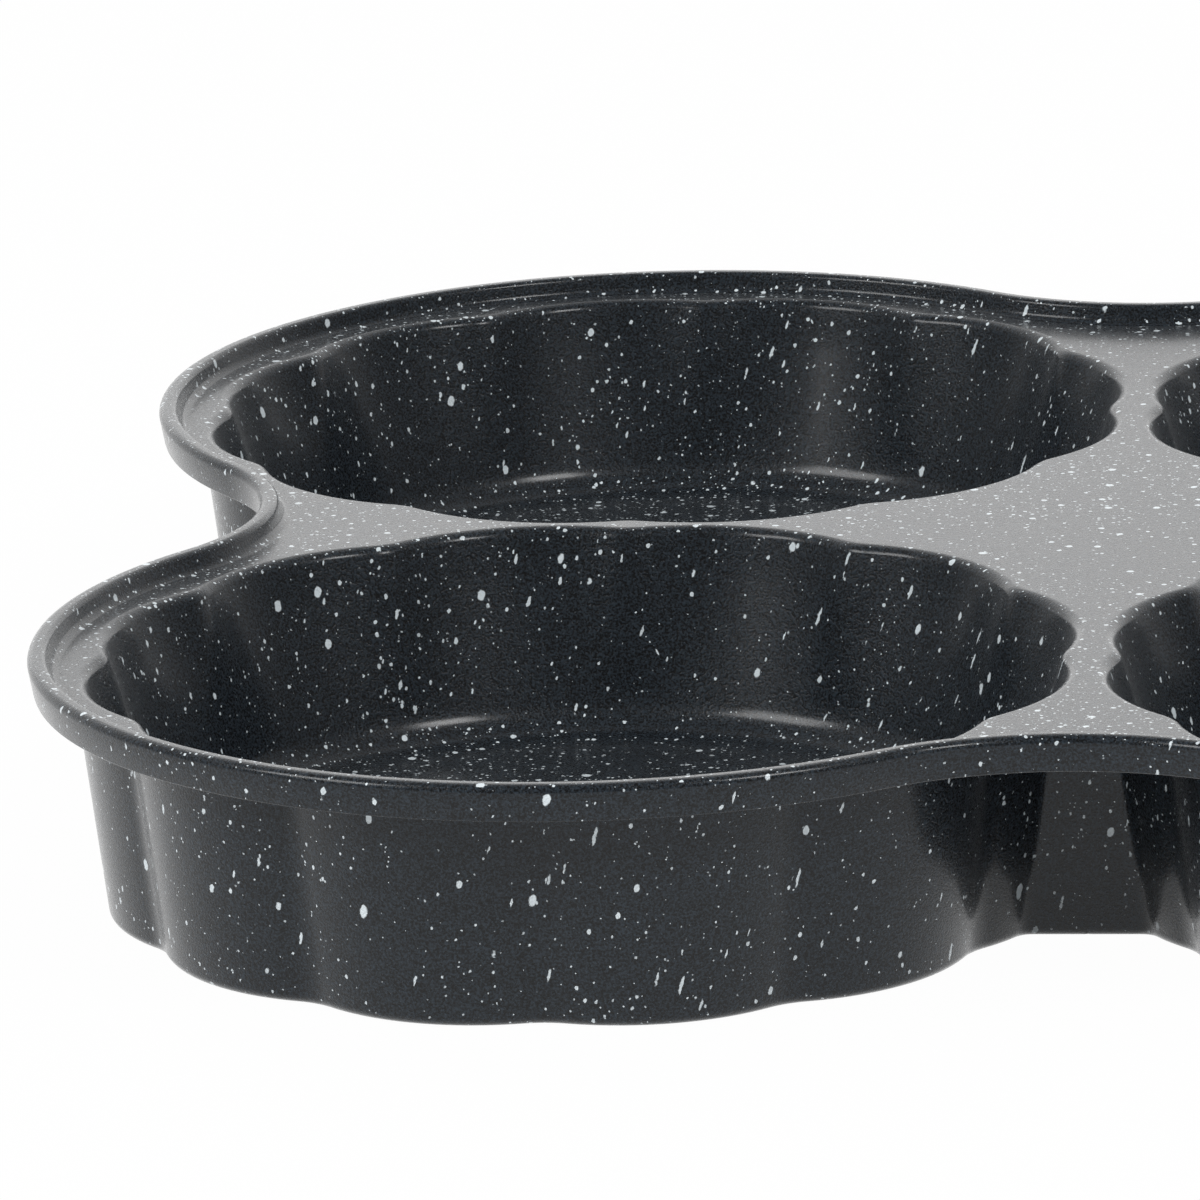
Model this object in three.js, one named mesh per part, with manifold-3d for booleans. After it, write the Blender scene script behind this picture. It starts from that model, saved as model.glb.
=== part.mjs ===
// Pancake pan: one aluminium casting with six scalloped cups in two rows of three, a flat deck
// between the cups and a raised bead round the rim.
//
// Millimetres, +Z up. The origin lies on the surface that the pan stands on, under its middle,
// with +X along the rows and +Y from the front row to the rear row.
//
// The casting is shown in the forms that it is drawn from: the deck, the bead on it, and each cup
// with its half of the webs that tie it to its neighbours. They meet on flat faces.

import * as THREE from "three";
import * as BufferGeometryUtils from "three/addons/utils/BufferGeometryUtils.js";
import Module from "manifold-3d";

// Layout of the cups, and the flat strip of deck that is left between the mouths of neighbours
const columnNames = ["left", "middle", "right"];
const rowNames = ["front", "rear"];
const bridgeX = 2.04;
const bridgeY = 0.7;

// Scalloped mouth of a cup, where its rounded edge leaves the deck
const lobeCount = 12;
const mouthTipRadius = 53.2;
const scallopDepth = 1.9;
const cuspRadius = 5.5;

// Section of a cup. The wall's thickness is measured level, just under the mouth's rounding.
const deckHeight = 25.6;
const deckThickness = 1.7;
const mouthRounding = 1.3;
const innerDraft = THREE.MathUtils.degToRad(17);
const outerDraft = THREE.MathUtils.degToRad(6.4);
const wallThickness = 1.4;
const floorThickness = 4.1;
const floorFillet = 2;

// Webs between neighbouring cups, from the deck down to the base
const webWidth = 36.2;

// Raised bead on the rim, measured from the deck and from the rim's outer face. Its foot is where
// the slope of its inner side would meet the deck, and a fillet runs out from there.
const beadHeight = 2.25;
const beadFootWidth = 2.5;
const beadOuterRounding = 1.4;
const beadInnerRounding = 0.7;
const beadInnerSlope = THREE.MathUtils.degToRad(75);
const beadFootFillet = 1;

// Outline of the rim: an arc round each outer cup, joined by hollow arcs between the cups. The
// ledge is the strip of deck between a mouth and the foot of the bead.
const rimLedge = 2.3;
const rimHollowRadius = 30.3;
const rimDraft = THREE.MathUtils.degToRad(10);

// Cuts run past the faces that they leave by this much
const overrun = 1;

// Facets of the curves, and the angle past which an edge between facets is a real one
const lobeSegments = 5;
const cuspSegments = 2;
const mouthRoundingSegments = 2;
const floorFilletSegments = 2;
const rimArcStep = THREE.MathUtils.degToRad(6.5);
const rimHollowStep = THREE.MathUtils.degToRad(10);
const beadOuterSegments = 3;
const beadInnerSegments = 2;
const beadFootSegments = 2;
const creaseAngle = THREE.MathUtils.degToRad(42);

// Cast aluminium under a black non-stick coating with pale specks
const coating = { color: 0x26292c, roughness: 0.45, metalness: 0 };

// Each lobe of the mouth is an arc, and a small arc that bends the other way rounds the cusp
// between two lobes. Half a lobe is the angle from its axis to the next cusp's.
const halfLobe = Math.PI / lobeCount;
const cuspDistance = mouthTipRadius - scallopDepth + cuspRadius;
const lobeRadius =
  (cuspDistance ** 2 -
    2 * cuspDistance * mouthTipRadius * Math.cos(halfLobe) +
    mouthTipRadius ** 2 -
    cuspRadius ** 2) /
  (2 * (cuspRadius + mouthTipRadius - cuspDistance * Math.cos(halfLobe)));
const lobeDistance = mouthTipRadius - lobeRadius;

// Sizes that follow from the ones above. A cusp points along each row and column, so a mouth
// reaches furthest that way on the two lobes beside the cusp.
const mouthReach = lobeDistance * Math.cos(halfLobe) + lobeRadius;
const cupPitchX = 2 * mouthReach + bridgeX;
const cupPitchY = 2 * mouthReach + bridgeY;
const rimRadius = mouthTipRadius + rimLedge + beadFootWidth;
const splitHeight = deckHeight - deckThickness;
const wallTop = deckHeight - mouthRounding + mouthRounding * Math.sin(innerDraft);
const wallTopOffset = -mouthRounding * Math.cos(innerDraft);

const wasm = await Module();
wasm.setup();

// Solids

// A closed geometry as a solid that can be joined and cut.
function toSolid(geometry) {
  geometry.deleteAttribute("normal");
  geometry.deleteAttribute("uv");
  const merged = BufferGeometryUtils.mergeVertices(geometry);
  return new wasm.Manifold(
    new wasm.Mesh({
      numProp: 3,
      vertProperties: new Float32Array(merged.attributes.position.array),
      triVerts: new Uint32Array(merged.index.array),
    }),
  );
}

// The geometry of a solid.
function toGeometry(solid) {
  const mesh = solid.getMesh();
  const geometry = new THREE.BufferGeometry();
  geometry.setAttribute("position", new THREE.BufferAttribute(mesh.vertProperties, 3));
  geometry.setIndex(new THREE.BufferAttribute(mesh.triVerts, 1));
  return geometry;
}

// A solid that fills a Box3.
function boxSolid({ min, max }) {
  const size = max.clone().sub(min);
  const middle = min.clone().add(max).divideScalar(2);
  return toSolid(
    new THREE.BoxGeometry(size.x, size.y, size.z).translate(middle.x, middle.y, middle.z),
  );
}

// Rings of points joined into one closed skin. Each ring has the same number of points, runs
// anticlockwise seen from above and follows the one before it up the outside. The first and the
// last ring are capped, or joined to each other where the skin closes on itself.
function skin(rings, closesOnItself = false) {
  const count = rings[0].length;
  const positions = rings.flat().flatMap((point) => point.toArray());
  const indices = [];
  const bands = closesOnItself ? rings.length : rings.length - 1;
  for (let band = 0; band < bands; band++) {
    const lower = band * count;
    const upper = ((band + 1) % rings.length) * count;
    for (let i = 0; i < count; i++) {
      const next = (i + 1) % count;
      indices.push(lower + i, lower + next, upper + next);
      indices.push(lower + i, upper + next, upper + i);
    }
  }
  if (!closesOnItself) {
    const top = (rings.length - 1) * count;
    const flat = (ring) => ring.map((point) => new THREE.Vector2(point.x, point.y));
    for (const [a, b, c] of THREE.ShapeUtils.triangulateShape(flat(rings[0]), [])) {
      indices.push(a, c, b);
    }
    for (const [a, b, c] of THREE.ShapeUtils.triangulateShape(flat(rings.at(-1)), [])) {
      indices.push(top + a, top + b, top + c);
    }
  }
  const geometry = new THREE.BufferGeometry();
  geometry.setAttribute("position", new THREE.Float32BufferAttribute(positions, 3));
  geometry.setIndex(indices);
  return geometry;
}

// Outlines: points with the direction square to the outline, so that any parallel outline
// is a step along those directions

// An arc as outline points. The outline turns round the centre, or bends the other way round it
// where the centre lies outside.
function arc(centre, radius, from, to, segments, centreOutside = false) {
  const side = centreOutside ? -1 : 1;
  return Array.from({ length: segments }, (_, i) => {
    const angle = from + ((to - from) * i) / segments;
    const normal = new THREE.Vector2(Math.cos(angle), Math.sin(angle));
    return { point: centre.clone().addScaledVector(normal, side * radius), normal };
  });
}

// The mouth's scalloped outline. A lobe's arc ends where it touches the arcs of its cusps.
function scallopOutline() {
  const reach = Math.atan2(
    cuspDistance * Math.sin(halfLobe),
    cuspDistance * Math.cos(halfLobe) - lobeDistance,
  );
  const along = (angle, distance) =>
    new THREE.Vector2(Math.cos(angle), Math.sin(angle)).multiplyScalar(distance);
  const outline = [];
  for (let lobe = 0; lobe < lobeCount; lobe++) {
    const axis = (2 * lobe + 1) * halfLobe;
    const cusp = axis + halfLobe;
    const lobeCentre = along(axis, lobeDistance);
    const cuspCentre = along(cusp, cuspDistance);
    const leave = axis + reach;
    const meet = cusp + halfLobe - reach;
    outline.push(...arc(lobeCentre, lobeRadius, axis - reach, leave, lobeSegments));
    outline.push(...arc(cuspCentre, cuspRadius, leave, meet, cuspSegments, true));
  }
  return outline;
}

function cupCentre(column, row) {
  return new THREE.Vector2(
    (column - (columnNames.length - 1) / 2) * cupPitchX,
    (row - (rowNames.length - 1) / 2) * cupPitchY,
  );
}

// The outline of the rim, anticlockwise. It rounds each cup on the outside of the layout and is
// drawn in between neighbours by a hollow arc that touches both.
function rimOutline() {
  const last = { column: columnNames.length - 1, row: rowNames.length - 1 };
  const stations = [];
  for (let column = 0; column <= last.column; column++) stations.push(cupCentre(column, 0));
  for (let row = 1; row <= last.row; row++) stations.push(cupCentre(last.column, row));
  for (let column = last.column - 1; column >= 0; column--) {
    stations.push(cupCentre(column, last.row));
  }
  for (let row = last.row - 1; row > 0; row--) stations.push(cupCentre(0, row));

  const hollowCentres = stations.map((centre, i) => {
    const next = stations[(i + 1) % stations.length];
    const step = next.clone().sub(centre);
    const middle = centre.clone().addScaledVector(step, 0.5);
    const outwards = new THREE.Vector2(step.y, -step.x).normalize();
    const distance = Math.sqrt((rimRadius + rimHollowRadius) ** 2 - (step.length() / 2) ** 2);
    return middle.addScaledVector(outwards, distance);
  });

  const fullTurn = 2 * Math.PI;
  const outline = [];
  stations.forEach((centre, i) => {
    const before = hollowCentres.at(i - 1);
    const after = hollowCentres[i];
    const next = stations[(i + 1) % stations.length];
    const start = before.clone().sub(centre).angle();
    const end = after.clone().sub(centre).angle();
    const turn = (end - start + fullTurn) % fullTurn;
    outline.push(
      ...arc(centre, rimRadius, start, start + turn, Math.ceil(turn / rimArcStep)),
    );
    const leave = after.clone().sub(next).angle();
    const bend = (end - leave + fullTurn) % fullTurn;
    outline.push(
      ...arc(after, rimHollowRadius, end, end - bend, Math.ceil(bend / rimHollowStep), true),
    );
  });
  return outline;
}

// The parallel outline that lies outside the given one by the offset, at a height.
function ring(outline, offset, height) {
  return outline.map(({ point, normal }) => {
    const moved = point.clone().addScaledVector(normal, offset);
    return new THREE.Vector3(moved.x, moved.y, height);
  });
}

// Section curves, as pairs of offset from the outline and height

// Inside of a cup from the floor up: floor fillet, drafted wall, rounded mouth.
function cavitySection() {
  const wallSweep = Math.PI / 2 - innerDraft;
  const wallFoot = floorThickness + floorFillet - floorFillet * Math.sin(innerDraft);
  const wallFootOffset = wallTopOffset - (wallTop - wallFoot) * Math.tan(innerDraft);
  const filletOffset = wallFootOffset - floorFillet * Math.cos(innerDraft);
  const section = [];
  for (let i = 0; i <= floorFilletSegments; i++) {
    const angle = (wallSweep * i) / floorFilletSegments;
    section.push([
      filletOffset + floorFillet * Math.sin(angle),
      floorThickness + floorFillet - floorFillet * Math.cos(angle),
    ]);
  }
  for (let i = mouthRoundingSegments; i >= 0; i--) {
    const angle = (wallSweep * i) / mouthRoundingSegments;
    section.push([
      -mouthRounding * Math.sin(angle),
      deckHeight - mouthRounding + mouthRounding * Math.cos(angle),
    ]);
  }
  section.push([0, deckHeight + overrun]);
  return section;
}

// Outer face of a cup's wall, which draws in towards the base.
function outerWallOffset(height) {
  return wallTopOffset + wallThickness - (wallTop - height) * Math.tan(outerDraft);
}

// How far the rim's outer face has drawn in at a height below the bead's rounding.
function rimOffset(height) {
  const beadShoulder = deckHeight + beadHeight - beadOuterRounding;
  return (height - beadShoulder) * Math.tan(rimDraft);
}

// The bead, from the outside of its foot over the crest and down to the end of the fillet inside.
function beadSection() {
  const crest = deckHeight + beadHeight;
  const filletLength = beadFootFillet * Math.tan(beadInnerSlope / 2);
  const section = [[rimOffset(deckHeight), deckHeight]];
  for (let i = 0; i <= beadOuterSegments; i++) {
    const angle = (Math.PI / 2) * (i / beadOuterSegments);
    section.push([
      -beadOuterRounding + beadOuterRounding * Math.cos(angle),
      crest - beadOuterRounding + beadOuterRounding * Math.sin(angle),
    ]);
  }
  for (let i = 1; i <= beadInnerSegments; i++) {
    const angle = (beadInnerSlope * i) / beadInnerSegments;
    section.push([
      -beadOuterRounding - beadInnerRounding * Math.sin(angle),
      crest - beadInnerRounding + beadInnerRounding * Math.cos(angle),
    ]);
  }
  for (let i = beadFootSegments; i >= 0; i--) {
    const angle = (beadInnerSlope * i) / beadFootSegments;
    section.push([
      -beadFootWidth - filletLength + beadFootFillet * Math.sin(angle),
      deckHeight + beadFootFillet - beadFootFillet * Math.cos(angle),
    ]);
  }
  return section;
}

// Forms of the casting

const mouth = scallopOutline();
const rim = rimOutline();
const cavity = toSolid(skin(cavitySection().map(([offset, height]) => ring(mouth, offset, height))));

function hasCup(column, row) {
  return column in columnNames && row in rowNames;
}

// The room that a cup may fill, in its own frame. It ends half way to each neighbour, where the
// next cup carries on, and is open where there is none.
function cupRoom(column, row) {
  const left = hasCup(column - 1, row) ? -cupPitchX / 2 : -cupPitchX;
  const right = hasCup(column + 1, row) ? cupPitchX / 2 : cupPitchX;
  const front = hasCup(column, row - 1) ? -cupPitchY / 2 : -cupPitchY;
  const rear = hasCup(column, row + 1) ? cupPitchY / 2 : cupPitchY;
  return new THREE.Box3(
    new THREE.Vector3(left, front, 0),
    new THREE.Vector3(right, rear, splitHeight),
  );
}

// A cup in its own frame, with its half of the web to each neighbour.
function cupSolid(column, row) {
  const shell = [0, splitHeight].map((height) => ring(mouth, outerWallOffset(height), height));
  let solid = toSolid(skin(shell));
  const steps = [
    [-1, 0],
    [1, 0],
    [0, -1],
    [0, 1],
  ];
  for (const [stepX, stepY] of steps) {
    if (!hasCup(column + stepX, row + stepY)) continue;
    const end = new THREE.Vector2(stepX * cupPitchX, stepY * cupPitchY).divideScalar(2);
    const across = new THREE.Vector2(stepY, stepX).multiplyScalar(webWidth / 2);
    const web = new THREE.Box3().setFromPoints([
      new THREE.Vector3(across.x, across.y, 0),
      new THREE.Vector3(end.x - across.x, end.y - across.y, splitHeight),
    ]);
    solid = solid.add(boxSolid(web));
  }
  return solid.intersect(boxSolid(cupRoom(column, row))).subtract(cavity);
}

// The deck, opened by the mouths of the cups.
function deckSolid() {
  const plate = [splitHeight, deckHeight].map((height) => ring(rim, rimOffset(height), height));
  let solid = toSolid(skin(plate));
  rowNames.forEach((_, row) => {
    columnNames.forEach((_, column) => {
      const centre = cupCentre(column, row);
      solid = solid.subtract(cavity.translate([centre.x, centre.y, 0]));
    });
  });
  return solid;
}

function beadGeometry() {
  return skin(
    beadSection().map(([offset, height]) => ring(rim, offset, height)),
    true,
  );
}

function piece(name, geometry) {
  const mesh = new THREE.Mesh(
    BufferGeometryUtils.toCreasedNormals(geometry, creaseAngle),
    new THREE.MeshStandardMaterial(coating),
  );
  mesh.name = name;
  return mesh;
}

const pan = new THREE.Group();
pan.name = "pancake_pan";
pan.add(piece("deck", toGeometry(deckSolid())));
pan.add(piece("rim_bead", beadGeometry()));
rowNames.forEach((rowName, row) => {
  columnNames.forEach((columnName, column) => {
    const cup = piece(`cup_${rowName}_${columnName}`, toGeometry(cupSolid(column, row)));
    const centre = cupCentre(column, row);
    cup.position.set(centre.x, centre.y, 0);
    pan.add(cup);
  });
});

export default pan;
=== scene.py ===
"""A cast aluminium pancake pan with six scalloped cups, under a speckled non-stick coating.

Metres, +Z up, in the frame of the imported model: the origin lies on the surface that the pan
stands on, under its middle, with +X along the rows and +Y from the front row to the rear row.
"""

import math

import bpy
import numpy as np
from mathutils import Matrix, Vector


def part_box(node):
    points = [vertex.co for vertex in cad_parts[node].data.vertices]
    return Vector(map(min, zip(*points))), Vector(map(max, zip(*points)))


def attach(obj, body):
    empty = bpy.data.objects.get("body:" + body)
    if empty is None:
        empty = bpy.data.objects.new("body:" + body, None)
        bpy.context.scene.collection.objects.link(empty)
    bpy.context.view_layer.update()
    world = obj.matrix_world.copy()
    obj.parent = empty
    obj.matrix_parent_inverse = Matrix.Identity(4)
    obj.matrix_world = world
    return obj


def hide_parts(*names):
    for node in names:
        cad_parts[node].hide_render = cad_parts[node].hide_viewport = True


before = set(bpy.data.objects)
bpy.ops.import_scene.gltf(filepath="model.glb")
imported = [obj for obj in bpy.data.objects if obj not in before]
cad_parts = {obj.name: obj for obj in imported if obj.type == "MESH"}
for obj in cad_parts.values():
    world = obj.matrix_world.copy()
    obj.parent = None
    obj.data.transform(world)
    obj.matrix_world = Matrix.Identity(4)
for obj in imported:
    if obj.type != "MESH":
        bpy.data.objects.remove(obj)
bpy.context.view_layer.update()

MM = 0.001

# Layout of the cups and the heights of the casting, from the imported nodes
COLUMNS = ("left", "middle", "right")
ROWS = ("front", "rear")
PITCH_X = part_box("cup_front_middle")[1].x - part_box("cup_front_middle")[0].x
BASE_HEIGHT, SPLIT_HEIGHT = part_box("cup_front_middle")[0].z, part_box("cup_front_middle")[1].z
DECK_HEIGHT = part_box("deck")[1].z
CREST_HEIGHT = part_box("rim_bead")[1].z

# Scalloped mouth, where its rounded edge leaves the deck
LOBES = 12
MOUTH_TIP = 53.2 * MM
SCALLOP_DEPTH = 1.9 * MM
CUSP_RADIUS = 5.5 * MM

# Section of a cup
MOUTH_ROUNDING = 1.3 * MM
INNER_DRAFT = math.radians(17)
OUTER_DRAFT = math.radians(6.4)
WALL_THICKNESS = 1.4 * MM
FLOOR_HEIGHT = 4.1 * MM
FLOOR_RISE = math.radians(10)
FLOOR_RISE_RADIUS = 16 * MM
FLOOR_FILLET = 4.4 * MM
BASE_ROUNDING = 1.1 * MM

# Share of the wall's height, from the mouth down, on which the lobes keep their full depth
FADE_START = 0.2

# Webs under the deck, with the softness of their corners against the cups' walls
WEB_WIDTH = 36.2 * MM
WEB_FILLET = 1.2 * MM

# Rim: the bead's foot and crest, measured in from its outer face, its roundings, the flat ledge
# inside it and the hollow arcs between the cups
BEAD_FOOT = 2.5 * MM
BEAD_CREST = 1.4 * MM
BEAD_OUTER_ROUNDING = 0.9 * MM
BEAD_INNER_ROUNDING = 0.7 * MM
BEAD_SLOPE = math.radians(75)
BEAD_FOOT_FILLET = 1 * MM
RIM_LEDGE = 2.3 * MM
RIM_HOLLOW = 30.3 * MM
RIM_DRAFT = math.radians(10)
RIM_LOWER_ROUNDING = 0.2 * MM

# The cup's piece ends this far out on the flat deck, so that no seam falls on a curve
SEAM = 0.2 * MM

# Layers of specks: spacing, least and largest radius in mm, then the share of cells that hold
# one, how well the weakest covers, and how many times longer it has run down a wall
SPECKS = (
    (0.55, 0.06, 0.12, 0.18, 0.3, 1.0),
    (0.8, 0.09, 0.15, 0.16, 0.6, 1.2),
    (1.2, 0.14, 0.24, 0.28, 0.8, 1.4),
    (2.5, 0.25, 0.42, 0.25, 0.85, 1.6),
    (4.0, 0.36, 0.56, 0.22, 0.9, 1.7),
    (1.5, 0.1, 0.16, 0.4, 0.8, 5.0),
    (2.0, 0.17, 0.25, 0.7, 0.85, 6.5),
)

# Long thin strokes of flung paint, as a row of the same kind
STROKES = (3.2, 0.12, 0.16, 0.12, 0.85, 9.0)

# Lean of the drops that have run, and of the strokes
DROP_LEAN = math.radians(15)
STROKE_LEANS = (math.radians(-27), math.radians(48))

# Edge of a speck: how far it fades, as a share of the layer's least radius, how far it is ragged
# and how wide the ragged parts are
SPECK_FADE = 0.25
RAGGED_REACH = 0.3 * MM
RAGGED_WIDTH = 0.5 * MM

# Patches with more or fewer specks, and where in the noise they are taken
PATCH_WIDTH = 45 * MM
PATCH_PLACE = 4.1

# Relief of the sprayed film: its waves, and its grain, which is finer on the real pan and is
# drawn as coarse as it needs to show
WAVE_WIDTH = 14 * MM
WAVE_HEIGHT = 0.15 * MM
GRAIN_WIDTH = 0.25 * MM
GRAIN_HEIGHT = 0.1 * MM

# White paper under the pan, in metres: half its side, its depth below the bases, so that the two
# planes don't coincide, and the share of plain white in what the camera and a gloss see of it
PAPER_HALF = 3.0
PAPER_GAP = 0.05 * MM
PAPER_GLOW_SHARE = 0.98

# Brightness of the studio in front of the pan and behind it, and the two values of a direction's
# Y between which the one passes into the other
STUDIO_LEVELS = (0.3, 1.0)
STUDIO_TURNS = (-0.1, 0.8)

# Lamps that face the pan: place, width and height in metres, and power in watts
SOFTBOXES = {
    "rear_softbox": ((0, 2.4, 0.7), 3, 1.2, 3.2),
    "left_softbox": ((-1.17, -0.76, 0.99), 0.7, 0.5, 10),
    "right_softbox": ((0.85, -0.85, 1.19), 0.4, 0.4, 8),
}

# The photograph's camera, found by fitting the pan's outlines to it; lens and sensor are in mm
CAMERA_LENS = 324.6
CAMERA_SENSOR = 36
CAMERA_PLACE = (4.32 * MM, -1138.05 * MM, 325.67 * MM)
CAMERA_YAW = math.radians(5.724)
CAMERA_PITCH = math.radians(15.103)
CAMERA_ROLL = math.radians(-1.687)
CAMERA_CLIP = (0.05, 20)

# Fineness of the surfaces: steps between columns and along the arcs, and numbers of rings
ANGLE_STEP = math.radians(0.6)
ARC_STEPS = 8
MOUTH_STEPS = 16
CREST_STEPS = 14
HEM_STEPS = 6
WALL_RINGS = 12
OUTSIDE_RINGS = 14
DECK_RINGS = 4

# Shares of the way out at which the floor, the base and the deck's underside have rings
FLOOR_SHARES = (0.2, 0.5, 0.8, 0.95, 1)
BASE_SHARES = (0.95, 0.7, 0.4, 0.15)
UNDERSIDE_SHARES = (0.6, 0.3, 0)

# Columns past a web's corner, in degrees, close where the web's rounded face meets the wall
WEB_COLUMNS = np.concatenate([np.linspace(-0.5, 4.5, 41), [5, 5.5, 6]])

# Decimals that a column's angle is rounded to, and how far before a full turn the last one ends
ANGLE_DECIMALS = 6
ANGLE_GAP = 1e-5

# Halvings that find the outside, and the least cosine towards a plane that is taken to meet it
HALVINGS = 40
LEAST_COSINE = 0.1

# Points closer than this are one, and edges sharper than this stay sharp
WELD = 1e-7
SHARP_ANGLE = math.radians(40)

# Sizes that follow from the ones above
HALF_LOBE = math.pi / LOBES
CUSP_DISTANCE = MOUTH_TIP - SCALLOP_DEPTH + CUSP_RADIUS
LOBE_RADIUS = (
    CUSP_DISTANCE**2
    - 2 * CUSP_DISTANCE * MOUTH_TIP * math.cos(HALF_LOBE)
    + MOUTH_TIP**2
    - CUSP_RADIUS**2
) / (2 * (CUSP_RADIUS + MOUTH_TIP - CUSP_DISTANCE * math.cos(HALF_LOBE)))
LOBE_DISTANCE = MOUTH_TIP - LOBE_RADIUS
LOBE_REACH = math.atan2(
    CUSP_DISTANCE * math.sin(HALF_LOBE),
    CUSP_DISTANCE * math.cos(HALF_LOBE) - LOBE_DISTANCE,
)
RIM_RADIUS = MOUTH_TIP + RIM_LEDGE + BEAD_FOOT
PITCH_Y = 2 * (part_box("rim_bead")[1].y - RIM_RADIUS)
WALL_TOP = DECK_HEIGHT - MOUTH_ROUNDING + MOUTH_ROUNDING * math.sin(INNER_DRAFT)
WALL_TOP_OFFSET = -MOUTH_ROUNDING * math.cos(INNER_DRAFT)
HALF_X, HALF_Y = PITCH_X / 2, PITCH_Y / 2
HALF_WEB = WEB_WIDTH / 2


# Outlines


def scallop(angle, offset):
    """Distance from a cup's axis to its scalloped outline, moved outwards by offset.

    A lobe is the far side of a circle centred on the lobe's axis, and a cusp is the near side of
    a circle centred on the cusp's axis further out. They touch where the lobe has turned by
    LOBE_REACH. Moving the outline out makes the lobe's circle larger and the cusp's smaller.
    """
    lobe_radius = LOBE_RADIUS + offset
    cusp_radius = CUSP_RADIUS - offset
    from_lobe = np.abs(angle % (2 * HALF_LOBE) - HALF_LOBE)
    from_cusp = HALF_LOBE - from_lobe
    touch = math.atan2(
        lobe_radius * math.sin(LOBE_REACH),
        LOBE_DISTANCE + lobe_radius * math.cos(LOBE_REACH),
    )
    lobe_root = lobe_radius**2 - (LOBE_DISTANCE * np.sin(from_lobe)) ** 2
    cusp_root = cusp_radius**2 - (CUSP_DISTANCE * np.sin(from_cusp)) ** 2
    on_lobe = LOBE_DISTANCE * np.cos(from_lobe) + np.sqrt(np.maximum(lobe_root, 0))
    on_cusp = CUSP_DISTANCE * np.cos(from_cusp) - np.sqrt(np.maximum(cusp_root, 0))
    return np.where(from_lobe < touch, on_lobe, on_cusp)


def rounded(outline, share):
    """An outline drawn by a share of the way to the circle half way between its lobes and cusps."""
    circle = (outline.min() + outline.max()) / 2
    return outline + share * (circle - outline)


def bend(centre, radius, start, end, steps):
    """Points of a section along an arc: offset and height, from one angle to the other."""
    angle = np.radians(np.linspace(start, end, steps + 1))
    return np.stack([centre[0] + radius * np.cos(angle), centre[1] + radius * np.sin(angle)], 1)


def neighbours(column, row):
    """Which of the sides -X, +X, -Y and +Y of a cup have another cup."""
    return {
        (-1, 0): column > 0,
        (1, 0): column < len(COLUMNS) - 1,
        (0, -1): row > 0,
        (0, 1): row < len(ROWS) - 1,
    }


def cup_centre(column, row):
    """Where a cup's axis stands, in whole or half pitches from the middle of the pan."""
    return np.array(
        [(column - (len(COLUMNS) - 1) / 2) * PITCH_X, (row - (len(ROWS) - 1) / 2) * PITCH_Y]
    )


def quarter(half_along, has_along, half_across, has_across):
    """A quarter of the deck's edge round a cup, from its first axis to its second.

    Gives points and the directions in which the rim moves out; these are zero on the planes
    half way to a neighbour. Beside one neighbour, the edge runs up the plane, follows the hollow
    arc of the rim and then the arc round the cup.
    """
    if has_across and not has_along:
        points, normals = quarter(half_across, True, half_along, False)
        return points[::-1, ::-1], normals[::-1, ::-1]
    right = math.pi / 2
    if not has_along:
        angle = np.arange(0, right + ANGLE_STEP / 2, ANGLE_STEP)
        normals = np.stack([np.cos(angle), np.sin(angle)], 1)
        return RIM_RADIUS * normals, normals
    if has_across:
        corner = math.atan2(half_across, half_along)
        up = np.tan(np.linspace(0, corner, round(corner / ANGLE_STEP) + 1)) * half_along
        back_steps = round((right - corner) / ANGLE_STEP) + 1
        back = np.tan(np.linspace(right - corner, 0, back_steps)[1:]) * half_across
        points = np.concatenate(
            [
                np.stack([np.full_like(up, half_along), up], 1),
                np.stack([back, np.full_like(back, half_across)], 1),
            ]
        )
        return points, np.zeros_like(points)
    centre_reach = RIM_RADIUS + RIM_HOLLOW
    hollow_y = math.sqrt(centre_reach**2 - half_along**2)
    meet = math.atan2(hollow_y, half_along)
    plane_end = hollow_y - RIM_HOLLOW
    plane_angle = math.atan2(plane_end, half_along)
    plane_steps = round(plane_angle / ANGLE_STEP)
    up = np.tan(np.linspace(0, plane_angle, plane_steps + 1)[:-1]) * half_along
    turn = np.linspace(-right, meet - math.pi, round((right - meet) / (2 * ANGLE_STEP)) + 1)
    inwards = np.stack([np.cos(turn), np.sin(turn)], 1)
    angle = np.linspace(meet, right, round((right - meet) / ANGLE_STEP) + 1)[1:]
    outwards = np.stack([np.cos(angle), np.sin(angle)], 1)
    points = np.concatenate(
        [
            np.stack([np.full_like(up, half_along), up], 1),
            np.array([half_along, hollow_y]) + RIM_HOLLOW * inwards,
            RIM_RADIUS * outwards,
        ]
    )
    normals = np.concatenate([np.zeros((len(up), 2)), -inwards, outwards])
    return points, normals


def deck_edge(column, row):
    """The deck's edge all round a cup, anticlockwise, with the rim's outward directions."""
    sides = neighbours(column, row)
    points, normals = [], []
    for sign_x, sign_y in ((1, 1), (-1, 1), (-1, -1), (1, -1)):
        part, part_normals = quarter(HALF_X, sides[(sign_x, 0)], HALF_Y, sides[(0, sign_y)])
        flip = np.array([sign_x, sign_y])
        step = 1 if sign_x * sign_y > 0 else -1
        points.append((part * flip)[::step][:-1])
        normals.append((part_normals * flip)[::step][:-1])
    return np.concatenate(points), np.concatenate(normals)


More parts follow.
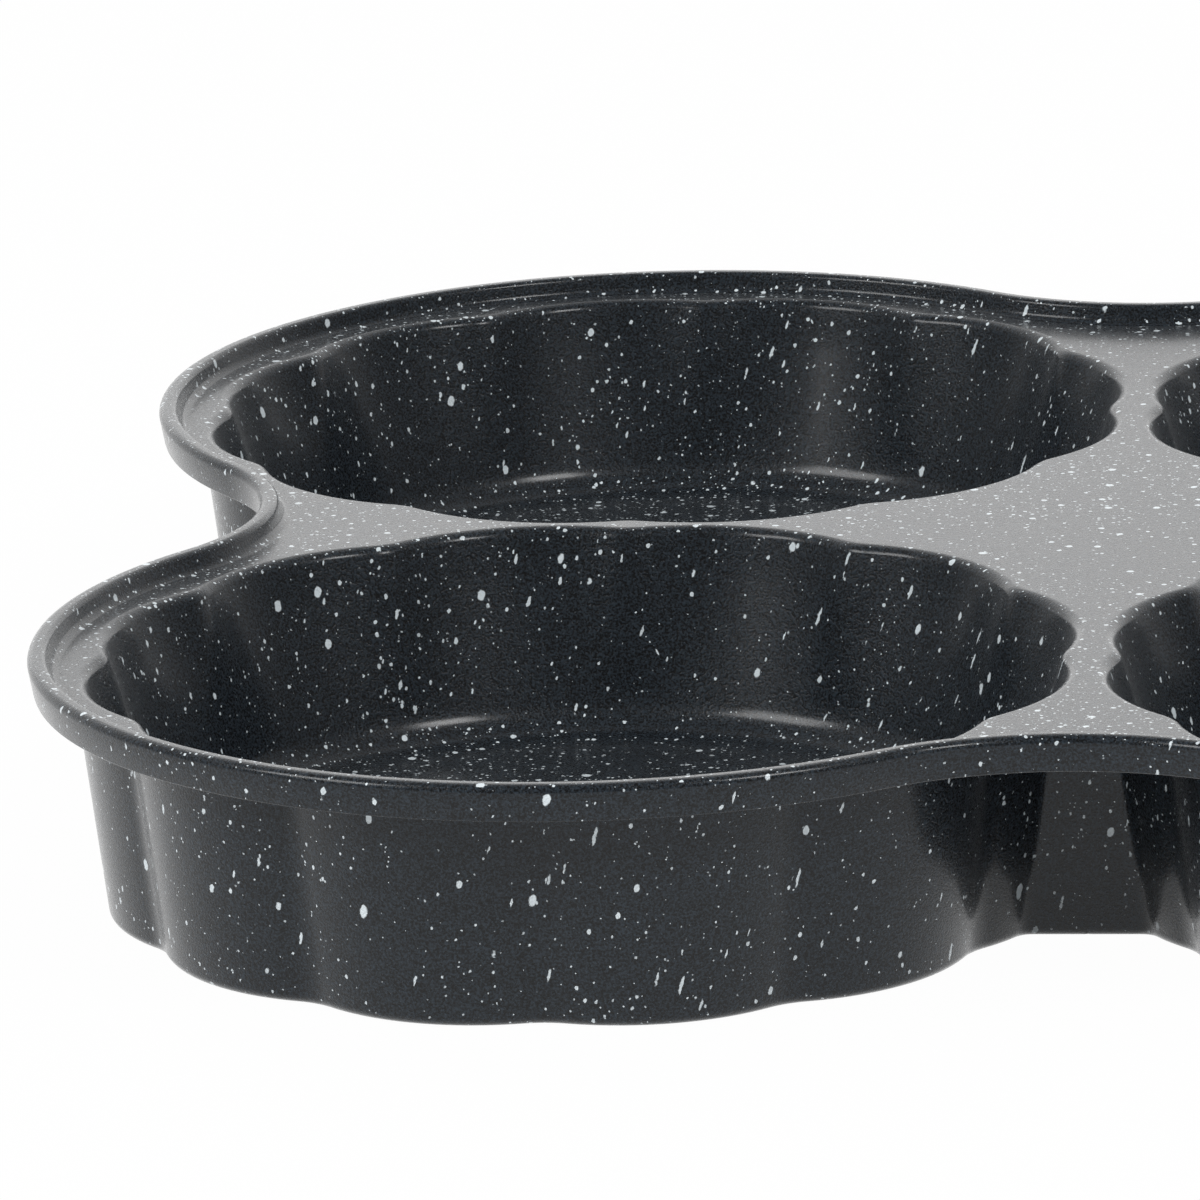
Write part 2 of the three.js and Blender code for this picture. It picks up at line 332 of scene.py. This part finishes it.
def rim_outline():
    """The rim all round the pan, anticlockwise from the left cup of the front row.

    The cups' edges are joined, each with only its stretch on the rim.
    """
    last_column, last_row = len(COLUMNS) - 1, len(ROWS) - 1
    stations = [(column, 0) for column in range(last_column + 1)]
    stations += [(column, last_row) for column in range(last_column, -1, -1)]
    points, normals = [], []
    for column, row in stations:
        edge, edge_normals = deck_edge(column, row)
        on_rim = np.any(edge_normals != 0, axis=1)
        first = int(np.flatnonzero(on_rim & ~np.roll(on_rim, 1))[0])
        order = np.roll(np.arange(len(edge)), -first)
        order = order[on_rim[order]]
        points.append(edge[order] + cup_centre(column, row))
        normals.append(edge_normals[order])
    points, normals = np.concatenate(points), np.concatenate(normals)
    doubled = np.linalg.norm(points - np.roll(points, 1, axis=0), axis=1) < WELD
    return points[~doubled], normals[~doubled]


def smooth_least(a, b, softness):
    """The lesser of two values, rounded off where they are closer than the softness."""
    return np.minimum(a, b) - np.maximum(softness - np.abs(a - b), 0) ** 2 / (4 * softness)


def outside(angle, offset, inset, sides):
    """Distance from a cup's axis to its outside: the scalloped wall, joined to its webs.

    Along each direction it is where the smooth union of the wall and the webs ends, found by
    halving, and no further than the planes half way to the neighbours.
    """
    wall = scallop(angle, offset)
    low, high = np.zeros_like(wall), np.full_like(wall, 2 * PITCH_X)
    for _ in range(HALVINGS):
        middle = (low + high) / 2
        beyond = middle - wall
        for (step_x, step_y), has_cup in sides.items():
            if has_cup:
                along = middle * (np.cos(angle) * step_x + np.sin(angle) * step_y)
                across = middle * np.abs(np.cos(angle) * step_y + np.sin(angle) * step_x)
                past_web = np.where(along > 0, across - HALF_WEB + inset, 2 * PITCH_X)
                beyond = smooth_least(beyond, past_web, WEB_FILLET)
        low, high = np.where(beyond < 0, middle, low), np.where(beyond < 0, high, middle)
    return np.minimum(high, cell_edge(angle, sides))


def cell_edge(angle, sides):
    """Distance from a cup's axis to the planes half way to its neighbours."""
    reach = np.full_like(angle, 2 * PITCH_X)
    for (step_x, step_y), has_cup in sides.items():
        if has_cup:
            half = HALF_X if step_x else HALF_Y
            towards = np.cos(angle) * step_x + np.sin(angle) * step_y
            reach = np.minimum(reach, half / np.maximum(towards, LEAST_COSINE))
    return reach


def cup_angles():
    """Angles of a cup's columns: even steps, with close ones across the faces of the webs."""
    even = np.arange(0, 2 * math.pi, ANGLE_STEP)
    folded = []
    for half in (HALF_X, HALF_Y):
        corner = math.atan2(HALF_WEB, half)
        face = corner + np.radians(WEB_COLUMNS)
        folded += [face, math.pi / 2 - face]
    folded.append(np.array([math.atan2(HALF_Y, HALF_X)]))
    folded = np.concatenate(folded)
    mirrored = np.concatenate([folded, math.pi - folded, math.pi + folded, 2 * math.pi - folded])
    angles = np.unique(np.round(np.concatenate([even, mirrored]), ANGLE_DECIMALS))
    return angles[angles < 2 * math.pi - ANGLE_GAP]


# Meshes


def add_piece(name, vertices, faces, nodes):
    """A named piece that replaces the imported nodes, smooth but for its real edges."""
    mesh = bpy.data.meshes.new(name)
    mesh.from_pydata(vertices.tolist(), [], [face for part in faces for face in part.tolist()])
    mesh.polygons.foreach_set("use_smooth", np.ones(len(mesh.polygons), bool))
    mesh.set_sharp_from_angle(angle=SHARP_ANGLE)
    mesh.validate()
    piece = bpy.data.objects.new(name, mesh)
    bpy.context.scene.collection.objects.link(piece)
    piece.data.materials.append(coating)
    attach(piece, "root")
    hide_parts(*nodes)


def bands(first, count, rings, closed):
    """Faces between rings of points that follow each other, count points in each ring."""
    ring = np.arange(rings if closed else rings - 1)[:, None]
    point = np.arange(count)[None, :]
    upper = (ring + 1) % rings
    onwards = (point + 1) % count
    corners = [ring * count + point, ring * count + onwards, upper * count + onwards]
    corners.append(upper * count + point)
    return first + np.stack(np.broadcast_arrays(*corners), -1).reshape(-1, 4)


def fan(tip, ring, outwards_up):
    """Triangles from a pole to a ring of points."""
    onwards = np.roll(ring, -1)
    pair = (ring, onwards) if outwards_up else (onwards, ring)
    return np.stack([np.full_like(ring, tip), *pair], 1)


def cup_piece(column, row):
    """A cup as rings round its axis: floor, fillet, wall, rounded mouth, outside and base.

    Each ring is the scalloped outline at an offset and a height. Down the inner wall it is drawn
    more and more towards a circle, which the fillet and the floor have. The floor and the base
    are rings drawn in towards the axis, each closed at a pole.
    """
    sides = neighbours(column, row)
    angle = cup_angles()
    direction = np.stack([np.cos(angle), np.sin(angle)], 1)
    centre = cup_centre(column, row)

    sweep = 90 - math.degrees(INNER_DRAFT)
    rise = math.degrees(FLOOR_RISE)
    fillet_height = FLOOR_HEIGHT + FLOOR_RISE_RADIUS - (
        FLOOR_RISE_RADIUS - FLOOR_FILLET
    ) * math.cos(FLOOR_RISE)
    wall_foot = fillet_height - FLOOR_FILLET * math.sin(INNER_DRAFT)
    foot_offset = WALL_TOP_OFFSET - (WALL_TOP - wall_foot) * math.tan(INNER_DRAFT)
    fillet_offset = foot_offset - FLOOR_FILLET * math.cos(INNER_DRAFT)
    rise_offset = fillet_offset - (FLOOR_RISE_RADIUS - FLOOR_FILLET) * math.sin(FLOOR_RISE)
    rise_centre = (rise_offset, FLOOR_HEIGHT + FLOOR_RISE_RADIUS)
    floor_edge = bend(rise_centre, FLOOR_RISE_RADIUS, -90, rise - 90, ARC_STEPS)
    fillet = bend((fillet_offset, fillet_height), FLOOR_FILLET, rise - 90, sweep - 90, ARC_STEPS)
    mouth_centre = (0, DECK_HEIGHT - MOUTH_ROUNDING)
    mouth = bend(mouth_centre, MOUTH_ROUNDING, 90 + sweep, 90, MOUTH_STEPS)
    wall = np.linspace(fillet[-1], mouth[0], WALL_RINGS)[1:-1]
    lip = np.array([[SEAM, DECK_HEIGHT], [SEAM, SPLIT_HEIGHT]])
    inside = np.concatenate([floor_edge[1:], fillet[1:], wall, mouth, lip])
    drop = (WALL_TOP - inside[:, 1]) / (WALL_TOP - wall_foot)
    roundness = np.clip((drop - FADE_START) / (1 - FADE_START), 0, 1)

    floor = rounded(scallop(angle, floor_edge[0][0]), 1)
    rings = [(share * floor, FLOOR_HEIGHT) for share in FLOOR_SHARES]
    for (offset, height), share in zip(inside, roundness):
        rings.append((rounded(scallop(angle, offset), share), height))
    corner = bend((-BASE_ROUNDING, BASE_ROUNDING), BASE_ROUNDING, 0, -90, ARC_STEPS)
    down = np.linspace([0, SPLIT_HEIGHT], corner[0], OUTSIDE_RINGS)
    for inset, height in np.concatenate([down, corner[1:]]):
        outer = WALL_TOP_OFFSET + WALL_THICKNESS - (WALL_TOP - height) * math.tan(OUTER_DRAFT)
        rings.append((outside(angle, outer + inset, -inset, sides), height))
    base = rings[-1][0]
    rings += [(share * base, BASE_HEIGHT) for share in BASE_SHARES]

    points = [
        np.column_stack([centre + radius[:, None] * direction, np.full(len(angle), height)])
        for radius, height in rings
    ]
    count, total = len(angle), len(rings)
    poles = [[*centre, FLOOR_HEIGHT], [*centre, BASE_HEIGHT]]
    vertices = np.concatenate([*points, poles])
    top, bottom = total * count, total * count + 1
    faces = [
        fan(top, np.arange(count), True),
        bands(0, count, total, False)[:, ::-1],
        fan(bottom, (total - 1) * count + np.arange(count), False),
    ]
    name = f"cup_{ROWS[row]}_{COLUMNS[column]}"
    add_piece(f"{name}_coated", vertices, faces, [name])


def rim_offset(height):
    """How far the rim's outer face has drawn in at a height below the bead's rounding."""
    return (height - (CREST_HEIGHT - BEAD_OUTER_ROUNDING)) * math.tan(RIM_DRAFT)


def deck_piece():
    """The deck as rings round each cup: from the mouth out to the edge, down and back.

    Where the edge is a plane half way to a neighbour, the ring's points are shared with the
    neighbour's and no side is made.
    """
    hem_centre = (rim_offset(SPLIT_HEIGHT) - RIM_LOWER_ROUNDING, SPLIT_HEIGHT + RIM_LOWER_ROUNDING)
    lower = bend(hem_centre, RIM_LOWER_ROUNDING, 0, -90, HEM_STEPS)
    face_heights = (DECK_HEIGHT, SPLIT_HEIGHT + 2 * RIM_LOWER_ROUNDING)
    upper = np.array([[rim_offset(height), height] for height in face_heights])
    side = np.concatenate([upper, lower])
    vertices, faces, first = [], [], 0
    for row in range(len(ROWS)):
        for column in range(len(COLUMNS)):
            edge, normals = deck_edge(column, row)
            angle = np.arctan2(edge[:, 1], edge[:, 0])
            mouth = scallop(angle, SEAM)[:, None] * np.stack([np.cos(angle), np.sin(angle)], 1)
            brim = edge + rim_offset(DECK_HEIGHT) * normals
            top_shares = np.linspace(0, 1, DECK_RINGS + 1)[:-1]
            rings = [(mouth + share * (brim - mouth), DECK_HEIGHT) for share in top_shares]
            rings += [(edge + offset * normals, height) for offset, height in side]
            hem = rings[-1][0]
            rings += [(mouth + share * (hem - mouth), SPLIT_HEIGHT) for share in UNDERSIDE_SHARES]
            centre = cup_centre(column, row)
            vertices += [
                np.column_stack([centre + ring, np.full(len(ring), height)])
                for ring, height in rings
            ]
            count, total = len(edge), len(rings)
            quads = bands(first, count, total, True)[:, ::-1].reshape(total, count, 4)
            on_rim = np.any(normals != 0, axis=1)
            keep = np.ones((total, count), bool)
            keep[DECK_RINGS : DECK_RINGS + len(side) - 1] = on_rim & np.roll(on_rim, -1)
            faces.append(quads[keep])
            first += total * count
    vertices = np.concatenate(vertices)
    faces = np.concatenate(faces)
    _, kept, place = np.unique(
        np.round(vertices / WELD).astype(np.int64), axis=0, return_index=True, return_inverse=True
    )
    add_piece("deck_coated", vertices[kept], [place.reshape(-1)[faces]], ["deck"])


def bead_piece():
    """The bead: its section carried round the rim, moved along the rim's outward directions."""
    points, normals = rim_outline()
    slope = math.degrees(BEAD_SLOPE)
    foot_length = BEAD_FOOT_FILLET * math.tan(BEAD_SLOPE / 2)
    shoulder = (-BEAD_OUTER_ROUNDING, CREST_HEIGHT - BEAD_OUTER_ROUNDING)
    crest = (-BEAD_CREST, CREST_HEIGHT - BEAD_INNER_ROUNDING)
    foot = (-BEAD_FOOT - foot_length, DECK_HEIGHT + BEAD_FOOT_FILLET)
    section = np.concatenate(
        [
            [[rim_offset(DECK_HEIGHT), DECK_HEIGHT]],
            bend(shoulder, BEAD_OUTER_ROUNDING, 0, 90, CREST_STEPS),
            bend(crest, BEAD_INNER_ROUNDING, 90, 90 + slope, ARC_STEPS),
            bend(foot, BEAD_FOOT_FILLET, slope - 90, -90, ARC_STEPS),
        ]
    )
    rings = [
        np.column_stack([points + offset * normals, np.full(len(points), height)])
        for offset, height in section
    ]
    faces = bands(0, len(points), len(rings), True)
    add_piece("rim_bead_coated", np.concatenate(rings), [faces], ["rim_bead"])


# Materials


def linear(code):
    """A hex sRGB colour as linear red, green, blue and alpha."""
    parts = [int(code[i : i + 2], 16) / 255 for i in (1, 3, 5)]
    return [p / 12.92 if p <= 0.04045 else ((p + 0.055) / 1.055) ** 2.4 for p in parts] + [1]


def add(tree, kind, inputs=None, **settings):
    """Adds a node with its settings. An input is a value or another node's output."""
    node = tree.nodes.new(kind)
    for key, value in settings.items():
        setattr(node, key, value)
    for key, value in (inputs or {}).items():
        if isinstance(value, bpy.types.NodeSocket):
            tree.links.new(value, node.inputs[key])
        else:
            node.inputs[key].default_value = value
    return node


def specks(tree, place, crowd, layer, lean):
    """Specks of paint: one in some cells of a cell pattern, of random size and strength.

    The layer is a row of SPECKS, whose share of filled cells holds where the crowd is 1. The
    cells and their specks are lengthened along the height, which leans sideways.
    """
    spacing, least, largest, share, strength, stretch = layer
    cell = spacing * MM
    turned = add(
        tree,
        "ShaderNodeMapping",
        {"Vector": place, "Rotation": (0, lean, 0), "Scale": (cell, cell, cell * stretch)},
        vector_type="TEXTURE",
    )
    cells = add(
        tree,
        "ShaderNodeTexVoronoi",
        {"Vector": turned.outputs["Vector"], "Scale": 1.0},
        feature="F1",
        voronoi_dimensions="3D",
    )
    random = add(tree, "ShaderNodeSeparateColor", {"Color": cells.outputs["Color"]})
    size = add(
        tree,
        "ShaderNodeMath",
        {0: random.outputs["Green"], 1: (largest - least) / spacing, 2: least / spacing},
        operation="MULTIPLY_ADD",
    )
    fade = SPECK_FADE * least / spacing
    inner = add(tree, "ShaderNodeMath", {0: size.outputs[0], 1: fade}, operation="SUBTRACT")
    dot = add(
        tree,
        "ShaderNodeMapRange",
        {
            "Value": cells.outputs["Distance"],
            "From Min": size.outputs[0],
            "From Max": inner.outputs[0],
        },
        clamp=True,
    )
    part = add(tree, "ShaderNodeMath", {0: crowd, 1: share}, operation="MULTIPLY")
    held = add(
        tree,
        "ShaderNodeMath",
        {0: random.outputs["Red"], 1: part.outputs[0]},
        operation="LESS_THAN",
    )
    cover = add(
        tree,
        "ShaderNodeMath",
        {0: random.outputs["Blue"], 1: 1 - strength, 2: strength},
        operation="MULTIPLY_ADD",
    )
    shown = add(
        tree, "ShaderNodeMath", {0: dot.outputs[0], 1: held.outputs[0]}, operation="MULTIPLY"
    )
    return add(
        tree, "ShaderNodeMath", {0: shown.outputs[0], 1: cover.outputs[0]}, operation="MULTIPLY"
    ).outputs[0]


def speckled_coating():
    """Sprayed non-stick coating: black satin film with spattered specks of pale grey paint.

    The spatter ranges from dust to drops of a millimetre, and is denser in some patches and where
    the surface faces up. On the upright walls the drops have run, so they are longer along the
    height. The clear top of the film has the refraction of PTFE. The body below it has less than
    a real film, matched to how little the upright walls of the photographed pan mirror.
    """
    material = bpy.data.materials.new("speckled_nonstick_coating")
    material.use_nodes = True
    tree = material.node_tree
    tree.nodes.clear()
    place = add(tree, "ShaderNodeTexCoord").outputs["Object"]
    ragged = add(
        tree, "ShaderNodeTexNoise", {"Vector": place, "Scale": 1 / RAGGED_WIDTH, "Detail": 1.0}
    )
    centred = add(
        tree,
        "ShaderNodeVectorMath",
        {0: ragged.outputs["Color"], 1: (0.5, 0.5, 0.5)},
        operation="SUBTRACT",
    )
    shifted = add(
        tree,
        "ShaderNodeVectorMath",
        {0: centred.outputs[0], 1: [RAGGED_REACH] * 3, 2: place},
        operation="MULTIPLY_ADD",
    ).outputs[0]
    patches = add(
        tree,
        "ShaderNodeTexNoise",
        {"Vector": place, "W": PATCH_PLACE, "Scale": 1 / PATCH_WIDTH, "Detail": 1.0},
        noise_dimensions="4D",
    )
    patchy = add(
        tree,
        "ShaderNodeMapRange",
        {
            "Value": patches.outputs["Fac"],
            "From Min": 0.35,
            "From Max": 0.65,
            "To Min": 0.4,
            "To Max": 1.6,
        },
    )
    facing = add(
        tree,
        "ShaderNodeSeparateXYZ",
        {"Vector": add(tree, "ShaderNodeNewGeometry").outputs["Normal"]},
    )
    fallen = add(
        tree,
        "ShaderNodeMapRange",
        {
            "Value": facing.outputs["Z"],
            "From Min": 0.4,
            "From Max": 0.9,
            "To Min": 1.0,
            "To Max": 2.2,
        },
    )
    crowd = add(
        tree,
        "ShaderNodeMath",
        {0: patchy.outputs["Result"], 1: fallen.outputs["Result"]},
        operation="MULTIPLY",
    ).outputs[0]
    layers = [specks(tree, shifted, crowd, layer, DROP_LEAN) for layer in SPECKS]
    layers += [specks(tree, place, crowd, STROKES, lean) for lean in STROKE_LEANS]
    together = layers[0]
    for layer in layers[1:]:
        together = add(
            tree, "ShaderNodeMath", {0: together, 1: layer}, operation="MAXIMUM"
        ).outputs[0]
    grain = add(
        tree,
        "ShaderNodeTexNoise",
        {"Vector": place, "Scale": 1 / GRAIN_WIDTH, "Detail": 1.0, "Roughness": 0.6},
    )
    flecked = add(
        tree,
        "ShaderNodeMapRange",
        {"Value": grain.outputs["Fac"], "From Min": 0.38, "From Max": 0.7},
    )
    film = add(
        tree,
        "ShaderNodeMix",
        {"Factor": flecked.outputs[0], 6: linear("#020407"), 7: linear("#2d3740")},
        data_type="RGBA",
    )
    tint = add(
        tree,
        "ShaderNodeMix",
        {"Factor": together, 6: film.outputs[2], 7: linear("#f0faff")},
        data_type="RGBA",
    )
    wave = add(
        tree, "ShaderNodeTexNoise", {"Vector": place, "Scale": 1 / WAVE_WIDTH, "Detail": 1.0}
    )
    rough = add(
        tree,
        "ShaderNodeMapRange",
        {"Value": grain.outputs["Fac"], "To Min": 0.2, "To Max": 0.36},
    )
    fine = add(
        tree,
        "ShaderNodeBump",
        {"Height": grain.outputs["Fac"], "Strength": 1.0, "Distance": GRAIN_HEIGHT},
    )
    coarse = add(
        tree,
        "ShaderNodeBump",
        {
            "Height": wave.outputs["Fac"],
            "Strength": 0.3,
            "Distance": WAVE_HEIGHT,
            "Normal": fine.outputs["Normal"],
        },
    )
    surface = add(
        tree,
        "ShaderNodeBsdfPrincipled",
        {
            "Base Color": tint.outputs[2],
            "Roughness": rough.outputs[0],
            "IOR": 1.25,
            "Coat Weight": 0.8,
            "Coat IOR": 1.35,
            "Coat Roughness": 0.18,
            "Sheen Weight": 0.2,
            "Sheen Roughness": 0.3,
            "Normal": coarse.outputs["Normal"],
        },
    )
    add(tree, "ShaderNodeOutputMaterial", {"Surface": surface.outputs[0]})
    return material


def paper():
    """White paper under the pan: matt, and plain white where the camera or a gloss sees it.

    A share of its own shading stays in the mix, so that the pan keeps a soft shadow.
    """
    material = bpy.data.materials.new("white_paper")
    material.use_nodes = True
    tree = material.node_tree
    tree.nodes.clear()
    matt = add(tree, "ShaderNodeBsdfDiffuse", {"Color": linear("#f4f4f4")})
    glow = add(tree, "ShaderNodeEmission", {"Color": linear("#ffffff"), "Strength": 1.0})
    rays = add(tree, "ShaderNodeLightPath")
    seen = add(
        tree,
        "ShaderNodeMath",
        {0: rays.outputs["Is Camera Ray"], 1: rays.outputs["Is Glossy Ray"]},
        operation="MAXIMUM",
    )
    share = add(
        tree, "ShaderNodeMath", {0: seen.outputs[0], 1: PAPER_GLOW_SHARE}, operation="MULTIPLY"
    )
    mix = add(
        tree, "ShaderNodeMixShader", {0: share.outputs[0], 1: matt.outputs[0], 2: glow.outputs[0]}
    )
    add(tree, "ShaderNodeOutputMaterial", {"Surface": mix.outputs[0]})
    return material


# Surroundings


def make_floor():
    """The paper that the pan stands on, as one square."""
    mesh = bpy.data.meshes.new("floor")
    corners = PAPER_HALF * np.array([(-1, -1), (1, -1), (1, 1), (-1, 1)])
    mesh.from_pydata([(x, y, -PAPER_GAP) for x, y in corners], [], [(0, 1, 2, 3)])
    floor = bpy.data.objects.new("floor", mesh)
    bpy.context.scene.collection.objects.link(floor)
    mesh.materials.append(paper())


def softbox(name, place, width, height, power):
    """A rectangular lamp at a place, facing the origin."""
    light = bpy.data.lights.new(name, "AREA")
    light.shape = "RECTANGLE"
    light.size, light.size_y = width, height
    light.energy = power
    lamp = bpy.data.objects.new(name, light)
    lamp.location = place
    x, y, z = place
    lamp.rotation_euler = (math.atan2(math.hypot(x, y), z), 0, math.atan2(x, -y))
    bpy.context.scene.collection.objects.link(lamp)


def make_world():
    """A studio that is white behind the pan, where its gloss shows it, and dimmer in front.

    The camera sees plain white all round.
    """
    world = bpy.data.worlds.new("white_surround")
    bpy.context.scene.world = world
    world.use_nodes = True
    tree = world.node_tree
    tree.nodes.clear()
    direction = add(tree, "ShaderNodeTexCoord").outputs["Generated"]
    axes = add(tree, "ShaderNodeSeparateXYZ", {"Vector": direction})
    lit = add(
        tree,
        "ShaderNodeMapRange",
        {
            "Value": axes.outputs["Y"],
            "From Min": STUDIO_TURNS[0],
            "From Max": STUDIO_TURNS[1],
            "To Min": STUDIO_LEVELS[0],
            "To Max": STUDIO_LEVELS[1],
        },
        interpolation_type="SMOOTHSTEP",
    )
    rays = add(tree, "ShaderNodeLightPath")
    strength = add(
        tree,
        "ShaderNodeMath",
        {0: lit.outputs["Result"], 1: rays.outputs["Is Camera Ray"]},
        operation="MAXIMUM",
    )
    surround = add(
        tree,
        "ShaderNodeBackground",
        {"Color": (1, 1, 1, 1), "Strength": strength.outputs[0]},
    )
    add(tree, "ShaderNodeOutputWorld", {"Surface": surround.outputs[0]})


def make_camera():
    """The camera: it looks along +Y, down by the pitch, turned by the yaw and rolled."""
    data = bpy.data.cameras.new("camera")
    data.sensor_width = CAMERA_SENSOR
    data.lens = CAMERA_LENS
    data.clip_start, data.clip_end = CAMERA_CLIP
    camera = bpy.data.objects.new("camera", data)
    bpy.context.scene.collection.objects.link(camera)
    camera.matrix_world = (
        Matrix.Translation(CAMERA_PLACE)
        @ Matrix.Rotation(CAMERA_YAW, 4, "Z")
        @ Matrix.Rotation(math.pi / 2 - CAMERA_PITCH, 4, "X")
        @ Matrix.Rotation(CAMERA_ROLL, 4, "Z")
    )
    bpy.context.scene.camera = camera


make_camera()
coating = speckled_coating()
for cup_row in range(len(ROWS)):
    for cup_column in range(len(COLUMNS)):
        cup_piece(cup_column, cup_row)
deck_piece()
bead_piece()
make_floor()
make_world()
for lamp_name, lamp in SOFTBOXES.items():
    softbox(lamp_name, *lamp)

scene = bpy.context.scene
scene.view_settings.view_transform = "Standard"
